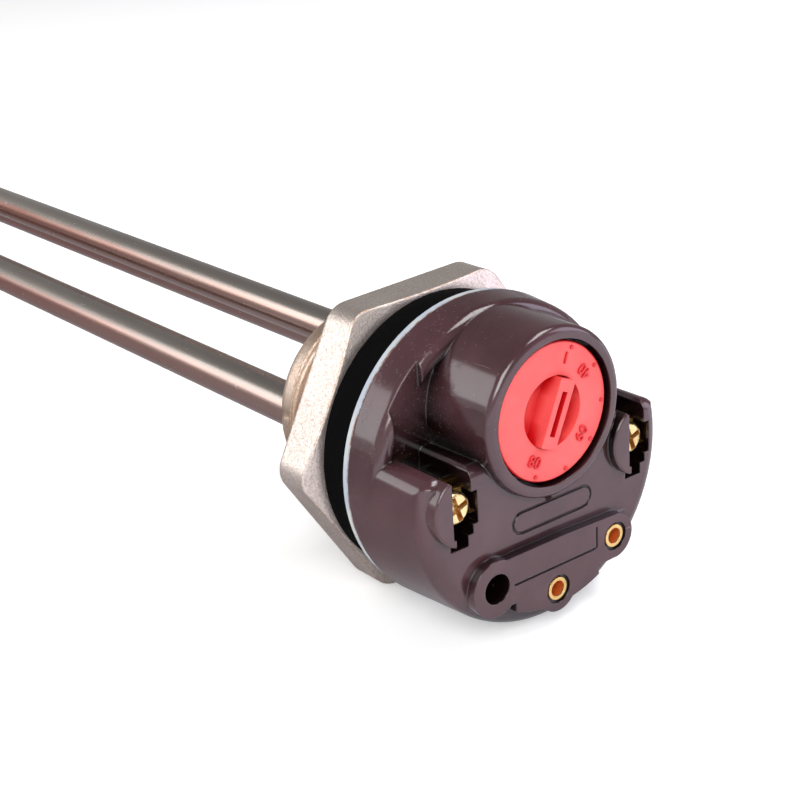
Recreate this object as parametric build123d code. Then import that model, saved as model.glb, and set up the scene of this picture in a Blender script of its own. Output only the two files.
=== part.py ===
from build123d import *
import math
import os

# Immersion heating element with a rod-thermostat head.
# The frame: the thread's axis is Y and points into the tank, Z is up, X is right as seen from the
# front. The origin is on that axis, in the plane where the hexagon seats on the tank's boss, so the
# head has negative Y and the tubes have positive Y. Depths are Y values.

# Hexagon plug with a G 1 1/4 parallel thread
HEX_ACROSS_FLATS = 55.0
HEX_THICKNESS = 8.2
HEX_TURN = 2.5
HEX_CHAMFER_ANGLE = 18.0
HEX_FACE_RADIUS = 26.9
HEX_CORNER_ROUND = 5.0
THREAD_MAJOR_RADIUS = 20.955
THREAD_LENGTH = 12.5
THREAD_LEAD_CHAMFER = 1.0
NOSE_RADIUS = 19.0
NOSE_LENGTH = 6.0
NOSE_ROUND = 3.0
HEX_CUP_RADIUS = 21.0
HEX_CUP_DEPTH = 2.0

# Heating hairpin
SHEATH_RADIUS = 4.1
SHEATH_WALL = 0.8
LEG_OFFSET = 14.7
LEG_HEIGHT = 1.5
IMMERSED_LENGTH = 300.0
SHEATH_STAND_OUT = 2.0
COIL_RADIUS = 1.4
FILL_RECESS = 1.0
PIN_RADIUS = 1.5
PIN_INSET = 32.0
BUSH_RADIUS = 3.7
BUSH_LENGTH = 2.6

# Thermostat pocket and stem, in line with the dial
DIAL_HEIGHT = 12.2
POCKET_RADIUS = 3.5
POCKET_WALL = 0.4
POCKET_LENGTH = 285.0
POCKET_LIP_RADIUS = 4.6
POCKET_LIP = 0.6
STEM_RADIUS = 2.9
STEM_WALL = 0.5
STEM_LENGTH = 272.0
STEM_PLUG_LENGTH = 6.0
STEM_FLANGE_RADIUS = 4.4
STEM_FLANGE = 0.9
ROD_RADIUS = 1.25
ROD_TRAVEL = 0.4

# Ring, disc and carrier between the plug and the head
RING_RADIUS = 26.9
RING_WALL = 3.6
RING_LENGTH = 8.0
DISC_INSET = 0.3
DISC_THICKNESS = 1.3
CARRIER_THICKNESS = 2.0
CARRIER_GAP = 0.3
CARRIER_EDGE_ROOM = 1.0
PASS_CLEARANCE = 0.25

# Moulded housing
BASE_RADIUS = 28.9
FACE_DRAFT = 1.1
FACE_DEPTH = 19.8
FACE_EDGE_ROUND = 3.4
BASE_EDGE_ROUND = 0.6
SHOULDER_DEPTH = 7.6
SHOULDER_DRAFT = 0.7
SHOULDER_ROUND = 2.2
RIDGE_WIDTH = 2.8
RIDGE_ROUND = 0.5
RECESS_DROP = 1.2
RECESS_SLOPE = 0.8
HOUSING_WALL = 2.0
CHAMBER_DEPTH = 4.5
CHAMBER_DRAFT_ROOM = 0.9
BLOCK_TOP = 6.8
BLOCK_SET_OFF = 1.0
BLOCK_FRONT_ROUND = 2.2
BLOCK_TOP_INSET = 1.9
WALL_SPLAY = 15.0
WALL_ROLL = 3.6
CHANNEL_BEVEL = 0.6
TOWER_RADIUS = 15.3
TOWER_ROOT_RADIUS = 15.7
TOWER_RISE = 2.2
TOWER_ROUND = 1.3
LOBE_SHIFT = -0.3
LOBE_HEIGHT = 0.8
LOBE_RADIUS = 6.8
LOBE_RISE = 1.6
LOBE_ROUND = 0.5
BOSS_RADIUS = 7.1
BOSS_ROUND = 0.8
POINTER_ANGLE = -92.0
POINTER_ROOT = 14.3
POINTER_TIP = 17.0
POINTER_WIDTH = 4.0
POINTER_RISE = 1.4
POINTER_TAPER = 30.0

# Pad with the three socket places along the lower part of the face
SOCKET_CIRCLE = 21.5
SOCKET_SIDE = 14.2
PAD_RISE = 1.8
PAD_INSET = 3.4
PAD_TOP = -11.4
PAD_MIDDLE_WIDTH = 20.0
PAD_MIDDLE_TOP = -15.0
PLAIN_LOBE_RADIUS = 5.3
LAMP_LOBE_RADIUS = 4.3
PLAIN_HOLE_RADIUS = 2.8
PLAIN_HOLE_DEPTH = 10.0
LAMP_SOCKET_RADIUS = 2.15
LAMP_SOCKET_BORE = 1.5
LAMP_SOCKET_LENGTH = 11.0
LAMP_COUNTERBORE = 2.75
LAMP_COUNTERBORE_DEPTH = 0.7
LAMP_SOCKET_SET_BACK = 0.2
ENGRAVED_WIDTH = 0.45
ENGRAVED_DEPTH = 0.35
LINE_LENGTH = 19.6
LINE_CENTRE_X = -0.5
LINE_BELOW_SOCKETS = 0.7
BAR_MARK_X = 9.6
BAR_MARK_LENGTH = 4.2
BAR_MARK_ABOVE_SOCKETS = 1.4
FRAME_CENTRE_Z = -6.8
FRAME_CENTRE_X = 0.7
FRAME_LENGTH = 18.9
FRAME_HEIGHT = 4.4

# Terminal wells, screws and brass
SCREW_OFFSET = 20.6
SCREW_SHIFT = 0.9
SCREW_HEIGHT = -0.2
WELL_LEFT = 3.3
WELL_RIGHT = 2.1
WELL_STEP = 3.4
WELL_STEP_TOP = 3.0
WELL_STEP_BOTTOM = -3.0
WELL_LEDGE = 2.3
WELL_LEDGE_Z = -4.7
WELL_LEFT_BOTTOM = -3.7
WELL_TAIL_LEFT = 2.8
WELL_TAIL_RIGHT = 1.1
WELL_TAIL_Z = -6.7
WELL_DEPTH = 7.9
BAR_THICKNESS = 1.5
BAR_GAP = 0.1
TAIL_WIDTH = 3.0
CLAMP_THICKNESS = 1.0
CLAMP_WIDTH = 5.4
CLAMP_HEIGHT = 5.6
CLAMP_LIFT = 2.1
SCREW_PITCH = 0.6
SCREW_RADIUS = 1.75
SCREW_CLEARANCE = 0.08
SCREW_HOLE_ROOM = 0.3
SCREW_END_ROUND = 0.4
SCREW_LENGTH = 9.0
SCREW_HEAD_RADIUS = 2.95
SCREW_HEAD_HEIGHT = 2.0
SCREW_HEAD_DOME = 0.7
CROSS_LENGTH = 4.8
CROSS_WIDTH = 1.0
CROSS_DEPTH = 1.2
CROSS_ANGLE = 20.0
PIN_SOCKET_RADIUS = 2.4
PIN_SOCKET_LENGTH = 9.5
PIN_FIT = 0.05
PIN_SOCKET_END_GAP = 0.3
STRIP_THICKNESS = 1.0
STRIP_WIDTH = 3.2

# Dial, spindle and nut
DIAL_RADIUS = 12.5
DIAL_THICKNESS = 3.6
DIAL_CLEARANCE = 0.6
DIAL_SET_BACK = 0.9
DIAL_EDGE_ROUND = 0.35
DIAL_SEAT_GAP = 0.2
SCOOP_RADIUS = 6.5
SCOOP_DEPTH = 2.6
GRIP_ROOM = 0.3
GRIP_WIDTH = 3.5
GRIP_LENGTH = 12.4
GRIP_RISE = 1.5
GRIP_ANGLE = 66.0
SLOT_WIDTH = 1.2
SLOT_LENGTH = 8.0
SLOT_DEPTH = 2.4
MARK_RADIUS = 11.5
MARK_DOT = 0.35
MARK_COUNT = 6
MARK_STEP = 35.6
MARK_RISE = 0.25
SPINDLE_RADIUS = 2.0
SPINDLE_FIT = 0.06
WEB_THICKNESS = 1.6
NUT_SIDE = 7.0
NUT_THICKNESS = 3.6
NUT_SLIDE_GAP = 0.1
GUIDE_WALL = 1.5
NUT_PITCH = 1.0
NUT_SET_BACK = 2.0
SPINDLE_OVERRUN = 0.5

# Switch
LEVER_ARM = 6.3
LEVER_TAIL = 13.0
LEVER_WIDTH = 4.4
LEVER_THICKNESS = 1.2
LEVER_ROOF_GAP = 0.6
LEVER_FRONT_ROOM = 2.4
LEVER_NOSE = 1.5
LEVER_PIN_RADIUS = 0.8
LEVER_PIN_FIT = 0.05
LEVER_HUB_RADIUS = 1.6
LEVER_SIDE_GAP = 0.3
EAR_THICKNESS = 1.0
EAR_HALF_HEIGHT = 1.7
EAR_MARGIN = 1.6
EAR_ROOM = 0.5
ROD_CONTACT_GAP = 0.1
BLADE_THICKNESS = 0.4
BLADE_LENGTH = 7.0
BLADE_OVERLAP = 2.5
BLADE_ROOM = 1.5
BUTTON_RADIUS = 1.6
BUTTON_THICKNESS = 0.8
CONTACT_GAP = 0.1
STRIP_INSET = 3.0
SUPPLY_STRIP_RISE = 0.4
LAMP_STRIP_RISE = 6.0

# Radii and depths that follow from the sizes above
DISC_RADIUS = BASE_RADIUS - DISC_INSET
FACE_RADIUS = BASE_RADIUS - FACE_DRAFT
SHOULDER_RADIUS = BASE_RADIUS - SHOULDER_DRAFT
RIDGE_INNER_RADIUS = SHOULDER_RADIUS - RIDGE_WIDTH
BLOCK_HALF_TOP = BASE_RADIUS - BLOCK_TOP_INSET
PAD_RADIUS = FACE_RADIUS - PAD_INSET
HEX_FRONT = -HEX_THICKNESS
THREAD_END = THREAD_LENGTH
NOSE_END = THREAD_END + NOSE_LENGTH
CUP_FLOOR = HEX_FRONT + HEX_CUP_DEPTH
SHEATH_FRONT = CUP_FLOOR - SHEATH_STAND_OUT
RING_FRONT = HEX_FRONT - RING_LENGTH
DISC_FRONT = RING_FRONT - DISC_THICKNESS
CARRIER_FRONT = DISC_FRONT - CARRIER_THICKNESS
CHAMBER_ROOF = DISC_FRONT - CHAMBER_DEPTH
BLOCK_BACK = DISC_FRONT - BLOCK_SET_OFF
RECESS_FLOOR = DISC_FRONT - SHOULDER_DEPTH + RECESS_DROP
SHOULDER_TOP = DISC_FRONT - SHOULDER_DEPTH
FACE = DISC_FRONT - FACE_DEPTH
PAD_FACE = FACE - PAD_RISE
TOWER_FRONT = FACE - TOWER_RISE
WELL_FLOOR = FACE + WELL_DEPTH
DIAL_FRONT = TOWER_FRONT + DIAL_SET_BACK
DIAL_BACK = DIAL_FRONT + DIAL_THICKNESS
WEB_FRONT = DIAL_BACK + DIAL_SEAT_GAP
WEB_BACK = WEB_FRONT + WEB_THICKNESS
STRIP_BACK = CARRIER_FRONT
STRIP_FRONT = STRIP_BACK - STRIP_THICKNESS
LEVER_PIVOT_Z = DIAL_HEIGHT - LEVER_ARM
LEVER_DEPTH = CHAMBER_ROOF - LEVER_ROOF_GAP
DIAL_BORE = DIAL_RADIUS + DIAL_CLEARANCE
SOCKET_DROP = math.sqrt(SOCKET_CIRCLE**2 - SOCKET_SIDE**2)
BLADE_Z = LEVER_PIVOT_Z - LEVER_TAIL
SWITCH_SPACE_FRONT = LEVER_DEPTH - LEVER_THICKNESS - LEVER_FRONT_ROOM
PIN_DEPTH = LEVER_DEPTH - LEVER_THICKNESS / 2
REACH = BASE_RADIUS + 10


def at_depth(y, x=0.0, z=0.0):
    """Sketch plane at depth y that reads X to the right, Z up, and extrudes towards the front."""
    return Plane(origin=(x, y, z), x_dir=(1, 0, 0), z_dir=(0, -1, 0))


def prism(sketch, back, front, x=0.0, z=0.0):
    """A front-view outline carried from the depth back to the depth front."""
    return extrude(at_depth(back, x, z) * sketch, amount=back - front)


def rod(radius, back, front, x=0.0, z=0.0):
    return prism(Circle(radius), back, front, x, z)


def pipe(radius, bore, back, front, x=0.0, z=0.0):
    return prism(Circle(radius) - Circle(bore), back, front, x, z)


def box(x_low, x_high, back, front, z_low, z_high):
    centre_x = (x_low + x_high) / 2
    centre_z = (z_low + z_high) / 2
    return prism(Rectangle(x_high - x_low, z_high - z_low), back, front, centre_x, centre_z)


def turned(points, rounds=0.0, x=0.0, z=0.0):
    """A solid turned about an axis along Y from (radius, depth) corners, with corner radii."""
    outline = FilletPolyline(*points, radius=rounds, close=True)
    return Pos(x, 0, z) * revolve(make_face(outline), Axis.Y)


def rim(solid, depth, radius, centre=(0.0, 0.0)):
    """The round edges of a solid that lie at one depth and one radius about a centre."""
    found = []
    for edge in solid.edges().filter_by(GeomType.CIRCLE):
        middle = edge.arc_center
        same_place = math.hypot(middle.X - centre[0], middle.Z - centre[1]) < 0.01
        if same_place and abs(middle.Y - depth) < 0.01 and abs(edge.radius - radius) < 0.01:
            found.append(edge)
    return found


def side_x(side):
    return -1 if side == "left" else 1


# Plug

def make_hex_plug():
    corner_radius = HEX_ACROSS_FLATS / math.sqrt(3)
    hexagon = fillet(RegularPolygon(corner_radius, 6).vertices(), HEX_CORNER_ROUND)
    plug = prism(Rot(0, 0, HEX_TURN) * hexagon, 0, HEX_FRONT)
    chamfer_run = corner_radius - HEX_FACE_RADIUS
    chamfer_drop = chamfer_run * math.tan(math.radians(HEX_CHAMFER_ANGLE))
    envelope = turned(
        [
            (0, 0),
            (corner_radius, 0),
            (corner_radius, HEX_FRONT + chamfer_drop),
            (HEX_FACE_RADIUS, HEX_FRONT),
            (0, HEX_FRONT),
        ]
    )
    plug = plug & envelope
    boss = turned(
        [
            (0, 0),
            (THREAD_MAJOR_RADIUS, 0),
            (THREAD_MAJOR_RADIUS, THREAD_END - THREAD_LEAD_CHAMFER),
            (THREAD_MAJOR_RADIUS - THREAD_LEAD_CHAMFER, THREAD_END),
            (NOSE_RADIUS, THREAD_END),
            (NOSE_RADIUS, NOSE_END),
            (0, NOSE_END),
        ],
        [0, 0, 0, 0, 0, NOSE_ROUND, 0],
    )
    plug = plug + boss - rod(HEX_CUP_RADIUS, CUP_FLOOR, HEX_FRONT - 1)
    for side in (-1, 1):
        plug -= rod(SHEATH_RADIUS, NOSE_END + 1, HEX_FRONT - 1, side * LEG_OFFSET, LEG_HEIGHT)
    return plug - rod(POCKET_RADIUS, NOSE_END + 1, HEX_FRONT - 1, 0, DIAL_HEIGHT)


# Heating hairpin

def hairpin_route(start_depth, end_radius):
    """Centre line of the hairpin: leg, half turn, leg."""
    bend_depth = IMMERSED_LENGTH - LEG_OFFSET - end_radius
    left = (-LEG_OFFSET, start_depth, LEG_HEIGHT)
    left_bend = (-LEG_OFFSET, bend_depth, LEG_HEIGHT)
    middle = (0, bend_depth + LEG_OFFSET, LEG_HEIGHT)
    right_bend = (LEG_OFFSET, bend_depth, LEG_HEIGHT)
    right = (LEG_OFFSET, start_depth, LEG_HEIGHT)
    return Line(left, left_bend) + ThreePointArc(left_bend, middle, right_bend) + Line(right_bend, right)


def hairpin(outer, bore, start_depth):
    section = Circle(outer)
    if bore > 0:
        section -= Circle(bore)
    start = Plane(origin=(-LEG_OFFSET, start_depth, LEG_HEIGHT), x_dir=(1, 0, 0), z_dir=(0, 1, 0))
    return sweep(start * section, path=hairpin_route(start_depth, SHEATH_RADIUS))


def make_terminal_pin(side):
    x = side_x(side) * LEG_OFFSET
    return rod(PIN_RADIUS, SHEATH_FRONT + PIN_INSET, STRIP_FRONT, x, LEG_HEIGHT)


def make_magnesia_fill():
    fill = hairpin(SHEATH_RADIUS - SHEATH_WALL, COIL_RADIUS, SHEATH_FRONT + FILL_RECESS)
    for side in (-1, 1):
        fill -= rod(PIN_RADIUS, SHEATH_FRONT + PIN_INSET, SHEATH_FRONT, side * LEG_OFFSET, LEG_HEIGHT)
    return fill


def make_end_bush(side):
    x = side_x(side) * LEG_OFFSET
    return pipe(BUSH_RADIUS, PIN_RADIUS, SHEATH_FRONT, SHEATH_FRONT - BUSH_LENGTH, x, LEG_HEIGHT)


# Thermostat sensor

def make_pocket_tube():
    outer = turned(
        [
            (0, POCKET_LENGTH),
            (0, CUP_FLOOR - POCKET_LIP),
            (POCKET_LIP_RADIUS, CUP_FLOOR - POCKET_LIP),
            (POCKET_LIP_RADIUS, CUP_FLOOR),
            (POCKET_RADIUS, CUP_FLOOR),
            (POCKET_RADIUS, POCKET_LENGTH),
        ],
        [0, 0, 0, 0, 0, POCKET_RADIUS * 0.8],
        z=DIAL_HEIGHT,
    )
    bore = POCKET_RADIUS - POCKET_WALL
    return outer - rod(bore, POCKET_LENGTH - POCKET_RADIUS, CUP_FLOOR - 2, 0, DIAL_HEIGHT)


def make_stem_tube():
    stem = rod(STEM_RADIUS, STEM_LENGTH, CARRIER_FRONT, 0, DIAL_HEIGHT)
    stem += rod(STEM_FLANGE_RADIUS, CARRIER_FRONT, CARRIER_FRONT - STEM_FLANGE, 0, DIAL_HEIGHT)
    return stem - rod(STEM_RADIUS - STEM_WALL, STEM_LENGTH + 1, CARRIER_FRONT - 2, 0, DIAL_HEIGHT)


def make_stem_plug():
    bore = STEM_RADIUS - STEM_WALL
    return rod(bore, STEM_LENGTH, STEM_LENGTH - STEM_PLUG_LENGTH, 0, DIAL_HEIGHT)


def make_invar_rod():
    inner_end = STEM_LENGTH - STEM_PLUG_LENGTH - ROD_TRAVEL - 0.1
    return rod(ROD_RADIUS, inner_end, LEVER_DEPTH + ROD_CONTACT_GAP, 0, DIAL_HEIGHT)


# Ring, disc and carrier

def passage_cuts(back, front, plate):
    """Holes for the stem and for the two push-on sockets through a plate."""
    plate -= rod(STEM_RADIUS, back + 1, front - 1, 0, DIAL_HEIGHT)
    for side in (-1, 1):
        hole = PIN_SOCKET_RADIUS + PASS_CLEARANCE
        plate -= rod(hole, back + 1, front - 1, side * LEG_OFFSET, LEG_HEIGHT)
    return plate


def make_spacer_ring():
    return pipe(RING_RADIUS, RING_RADIUS - RING_WALL, HEX_FRONT, RING_FRONT)


def make_insulating_disc():
    return passage_cuts(RING_FRONT, DISC_FRONT, rod(DISC_RADIUS, RING_FRONT, DISC_FRONT))


def make_mechanism_carrier():
    radius = BASE_RADIUS - HOUSING_WALL - CARRIER_GAP - CARRIER_EDGE_ROOM
    return passage_cuts(DISC_FRONT, CARRIER_FRONT, rod(radius, DISC_FRONT, CARRIER_FRONT))


# Housing

def screw_x(side):
    return side_x(side) * SCREW_OFFSET + SCREW_SHIFT


def well_outline():
    """Key-shaped well seen from the front, about its screw: open above, step right, tail below."""
    top = BLOCK_TOP + TOWER_RISE - SCREW_HEIGHT
    points = [
        (-WELL_LEFT, top),
        (-WELL_LEFT, WELL_LEFT_BOTTOM),
        (-WELL_TAIL_LEFT, WELL_LEFT_BOTTOM),
        (-WELL_TAIL_LEFT, WELL_TAIL_Z),
        (WELL_TAIL_RIGHT, WELL_TAIL_Z),
        (WELL_TAIL_RIGHT, WELL_LEDGE_Z),
        (WELL_LEDGE, WELL_LEDGE_Z),
        (WELL_LEDGE, WELL_STEP_BOTTOM),
        (WELL_STEP, WELL_STEP_BOTTOM),
        (WELL_STEP, WELL_STEP_TOP),
        (WELL_RIGHT, WELL_STEP_TOP),
        (WELL_RIGHT, top),
    ]
    return make_face(Polyline(*points, close=True))


def wire_channel(side):
    """Open channel above a well, with bevelled upper edges, that lets a wire in from the recess."""
    left = screw_x(side) - WELL_LEFT
    right = screw_x(side) + WELL_RIGHT
    floor = SCREW_HEIGHT + WELL_STEP_TOP
    points = [
        (left, floor),
        (right, floor),
        (right, BLOCK_TOP - CHANNEL_BEVEL),
        (right + CHANNEL_BEVEL, BLOCK_TOP),
        (right + CHANNEL_BEVEL, REACH),
        (left - CHANNEL_BEVEL, REACH),
        (left - CHANNEL_BEVEL, BLOCK_TOP),
        (left, BLOCK_TOP - CHANNEL_BEVEL),
    ]
    return prism(make_face(Polyline(*points, close=True)), RECESS_FLOOR, FACE - LOBE_RISE - 1)


def pad_outline():
    """The raised pad: part of a disc below a line, with lobes round the three socket places."""
    lobes = Pos(-SOCKET_SIDE, -SOCKET_DROP) * Circle(PLAIN_LOBE_RADIUS)
    lobes += Pos(SOCKET_SIDE, -SOCKET_DROP) * Circle(LAMP_LOBE_RADIUS)
    lobes += Pos(0, -SOCKET_CIRCLE) * Circle(LAMP_LOBE_RADIUS)
    bottom = -SOCKET_DROP - LAMP_LOBE_RADIUS
    band = make_face(
        Polyline(
            (-SOCKET_SIDE, -SOCKET_DROP + PLAIN_LOBE_RADIUS),
            (-SOCKET_SIDE, bottom),
            (SOCKET_SIDE, bottom),
            (SOCKET_SIDE, -SOCKET_DROP + LAMP_LOBE_RADIUS),
            close=True,
        )
    )
    middle = Pos(0, PAD_MIDDLE_TOP - REACH / 2) * Rectangle(PAD_MIDDLE_WIDTH, REACH)
    body = (band + middle) & Circle(PAD_RADIUS) & (Pos(0, PAD_TOP - REACH) * Rectangle(2 * REACH, 2 * REACH))
    return body + lobes


def make_block():
    """The front block below the dial, with rolled upper corners on its drafted round wall."""
    half_foot = BLOCK_HALF_TOP + (BLOCK_TOP + REACH) * math.tan(math.radians(WALL_SPLAY))
    outline = FilletPolyline(
        (-half_foot, -REACH), (-BLOCK_HALF_TOP, BLOCK_TOP), (BLOCK_HALF_TOP, BLOCK_TOP), (half_foot, -REACH),
        radius=[0, WALL_ROLL, WALL_ROLL, 0], close=True,
    )
    keep = prism(make_face(outline), BLOCK_BACK, FACE)
    front_edges = [edge for edge in keep.edges()
                   if abs(edge.center().Y - FACE) < 0.01 and edge.center().Z > 0]
    keep = fillet(front_edges, BLOCK_FRONT_ROUND)
    wall = turned(
        [(0, DISC_FRONT), (BASE_RADIUS, DISC_FRONT), (FACE_RADIUS, FACE), (0, FACE)],
        [0, 0, FACE_EDGE_ROUND, 0],
    )
    return wall & keep


def make_crescent(side):
    """Raised rim on the left of a well."""
    x = screw_x(side) + LOBE_SHIFT
    front = FACE - LOBE_RISE
    disc = rod(LOBE_RADIUS, FACE + FACE_EDGE_ROUND + 1, front, x, LOBE_HEIGHT)
    disc = fillet(rim(disc, front, LOBE_RADIUS, (x, LOBE_HEIGHT)), LOBE_ROUND)
    return disc & box(x - REACH, screw_x(side) - WELL_TAIL_LEFT, DISC_FRONT, front, -REACH, BLOCK_TOP)


def make_side_boss():
    """Round boss on the outer side of the right well."""
    x = screw_x("right") + LOBE_SHIFT
    boss = rod(BOSS_RADIUS, CHAMBER_ROOF, FACE, x, LOBE_HEIGHT)
    boss = fillet(rim(boss, FACE, BOSS_RADIUS, (x, LOBE_HEIGHT)), BOSS_ROUND)
    return boss & box(screw_x("right") + WELL_RIGHT, REACH, DISC_FRONT, FACE, -REACH, BLOCK_TOP)


def make_housing_shell():
    """The outside of the moulding: block, shoulder with its recess, dial tower and raised rims."""
    block = make_block()
    shoulder = turned(
        [
            (0, DISC_FRONT),
            (BASE_RADIUS, DISC_FRONT),
            (SHOULDER_RADIUS, SHOULDER_TOP),
            (RIDGE_INNER_RADIUS, SHOULDER_TOP),
            (RIDGE_INNER_RADIUS - RECESS_SLOPE, RECESS_FLOOR),
            (0, RECESS_FLOOR),
        ],
        [0, BASE_EDGE_ROUND, SHOULDER_ROUND, RIDGE_ROUND, RIDGE_ROUND, 0],
    )
    tower = turned(
        [
            (0, CHAMBER_ROOF),
            (TOWER_ROOT_RADIUS, CHAMBER_ROOF),
            (TOWER_RADIUS, TOWER_FRONT),
            (0, TOWER_FRONT),
        ],
        [0, 0, TOWER_ROUND, 0],
        z=DIAL_HEIGHT,
    )
    shell = block + shoulder + tower + make_side_boss()
    for side in ("left", "right"):
        shell += make_crescent(side)
        shell -= wire_channel(side)
    return shell


def make_pointer():
    """Small ridge under the dial, with its tip away from it."""
    outline = make_face(
        Polyline((POINTER_ROOT, -POINTER_WIDTH / 2), (POINTER_TIP, 0), (POINTER_ROOT, POINTER_WIDTH / 2),
                 close=True)
    )
    outline = at_depth(FACE, 0, DIAL_HEIGHT) * (Rot(0, 0, POINTER_ANGLE) * outline)
    return extrude(outline, amount=POINTER_RISE, taper=POINTER_TAPER)


def cut_inner_room(shell):
    """Room inside: base chamber, cored tower, guide for the nut and space for the switch."""
    shell -= rod(BASE_RADIUS - HOUSING_WALL - CHAMBER_DRAFT_ROOM, DISC_FRONT + 1, CHAMBER_ROOF)
    shell -= rod(DIAL_BORE, WEB_FRONT, TOWER_FRONT - 1, 0, DIAL_HEIGHT)
    shell -= rod(SPINDLE_RADIUS + SPINDLE_FIT, CHAMBER_ROOF + 1, TOWER_FRONT, 0, DIAL_HEIGHT)
    guide = NUT_SIDE + 2 * NUT_SLIDE_GAP
    core = Circle(TOWER_RADIUS - HOUSING_WALL) - Rectangle(guide + 2 * GUIDE_WALL, guide + 2 * GUIDE_WALL)
    core_bottom = BLOCK_TOP - DIAL_HEIGHT + HOUSING_WALL
    core &= Pos(0, REACH / 2 + core_bottom) * Rectangle(2 * REACH, REACH)
    shell -= prism(core, CHAMBER_ROOF + 1, WEB_BACK, 0, DIAL_HEIGHT)
    shell -= prism(Rectangle(guide, guide), CHAMBER_ROOF + 1, WEB_BACK, 0, DIAL_HEIGHT)
    half_switch = LEVER_WIDTH / 2 + LEVER_SIDE_GAP + EAR_THICKNESS + EAR_ROOM
    switch_bottom = BLADE_Z - BLADE_LENGTH / 2 - BLADE_ROOM
    return shell - box(-half_switch, half_switch, CHAMBER_ROOF + 1, SWITCH_SPACE_FRONT, switch_bottom,
                       DIAL_HEIGHT)


def cut_terminal_wells(shell):
    """Each well, a hole under its screw and a slot for the bar's leg."""
    for side in ("left", "right"):
        x = screw_x(side)
        shell -= prism(well_outline(), WELL_FLOOR, FACE - LOBE_RISE - 1, x, SCREW_HEIGHT)
        shell -= rod(SCREW_RADIUS + SCREW_HOLE_ROOM, CHAMBER_ROOF + 1, WELL_FLOOR - 1, x, SCREW_HEIGHT)
        half_leg = BAR_THICKNESS / 2 + BAR_GAP
        half_tail = TAIL_WIDTH / 2 + BAR_GAP
        shell -= box(leg_x(side) - half_leg, leg_x(side) + half_leg, CHAMBER_ROOF + 1, WELL_FLOOR - 1,
                     SCREW_HEIGHT - half_tail, SCREW_HEIGHT + half_tail)
    return shell


def cut_socket_places(shell):
    shell -= rod(PLAIN_HOLE_RADIUS, PAD_FACE + PLAIN_HOLE_DEPTH, PAD_FACE - 1, -SOCKET_SIDE, -SOCKET_DROP)
    for x, z in lamp_places().values():
        shell -= rod(LAMP_SOCKET_RADIUS, CHAMBER_ROOF + 1, PAD_FACE - 1, x, z)
        shell -= rod(LAMP_COUNTERBORE, PAD_FACE + LAMP_COUNTERBORE_DEPTH, PAD_FACE - 1, x, z)
    return shell


def cut_engraved_marks(shell):
    """A line with a short bar on the pad, and an empty frame on the face."""
    line = Pos(LINE_CENTRE_X, -SOCKET_DROP - LINE_BELOW_SOCKETS) * Rectangle(LINE_LENGTH, ENGRAVED_WIDTH)
    line += Pos(BAR_MARK_X, BAR_MARK_ABOVE_SOCKETS - SOCKET_DROP) * Rectangle(ENGRAVED_WIDTH, BAR_MARK_LENGTH)
    shell -= prism(line, PAD_FACE + ENGRAVED_DEPTH, PAD_FACE - 1)
    frame = SlotOverall(FRAME_LENGTH, FRAME_HEIGHT)
    frame -= SlotOverall(FRAME_LENGTH - 2 * ENGRAVED_WIDTH, FRAME_HEIGHT - 2 * ENGRAVED_WIDTH)
    return shell - prism(frame, FACE + ENGRAVED_DEPTH, FACE - 1, FRAME_CENTRE_X, FRAME_CENTRE_Z)


def make_housing():
    shell = make_housing_shell() + make_pointer()
    shell += prism(pad_outline(), FACE + FACE_EDGE_ROUND + 1, PAD_FACE)
    shell = cut_inner_room(shell)
    shell = cut_terminal_wells(shell)
    shell = cut_socket_places(shell)
    return cut_engraved_marks(shell)


# Terminals

def leg_x(side):
    """Middle of the bar's leg, at the right end of the well's step."""
    return screw_x(side) + WELL_STEP - BAR_THICKNESS / 2 - BAR_GAP


def lamp_places():
    return {"right": (SOCKET_SIDE, -SOCKET_DROP), "lower": (0.0, -SOCKET_CIRCLE)}


def make_terminal_bar(side):
    """Tapped plate on the well's floor, with a leg through the moulding to a foot on the carrier."""
    x = screw_x(side)
    leg_right = leg_x(side) + BAR_THICKNESS / 2
    plate = box(x - WELL_LEFT + BAR_GAP, leg_right, WELL_FLOOR, WELL_FLOOR - BAR_THICKNESS,
                SCREW_HEIGHT + WELL_STEP_BOTTOM + BAR_GAP, SCREW_HEIGHT + WELL_STEP_TOP - BAR_GAP)
    plate -= rod(SCREW_RADIUS + SCREW_CLEARANCE, WELL_FLOOR + 1, WELL_FLOOR - BAR_THICKNESS - 1,
                 x, SCREW_HEIGHT)
    leg = box(leg_right - BAR_THICKNESS, leg_right, STRIP_BACK, WELL_FLOOR,
              SCREW_HEIGHT - TAIL_WIDTH / 2, SCREW_HEIGHT + TAIL_WIDTH / 2)
    leg -= rod(PIN_SOCKET_RADIUS, STRIP_BACK + 1, STRIP_FRONT, side_x(side) * LEG_OFFSET, LEG_HEIGHT)
    return plate + leg


def make_clamp_plate(side):
    x = screw_x(side)
    back = WELL_FLOOR - BAR_THICKNESS - CLAMP_LIFT
    plate = prism(Rectangle(CLAMP_WIDTH, CLAMP_HEIGHT), back, back - CLAMP_THICKNESS, x, SCREW_HEIGHT)
    return plate - rod(SCREW_RADIUS + SCREW_CLEARANCE, back + 1, back - CLAMP_THICKNESS - 1, x, SCREW_HEIGHT)


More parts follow.
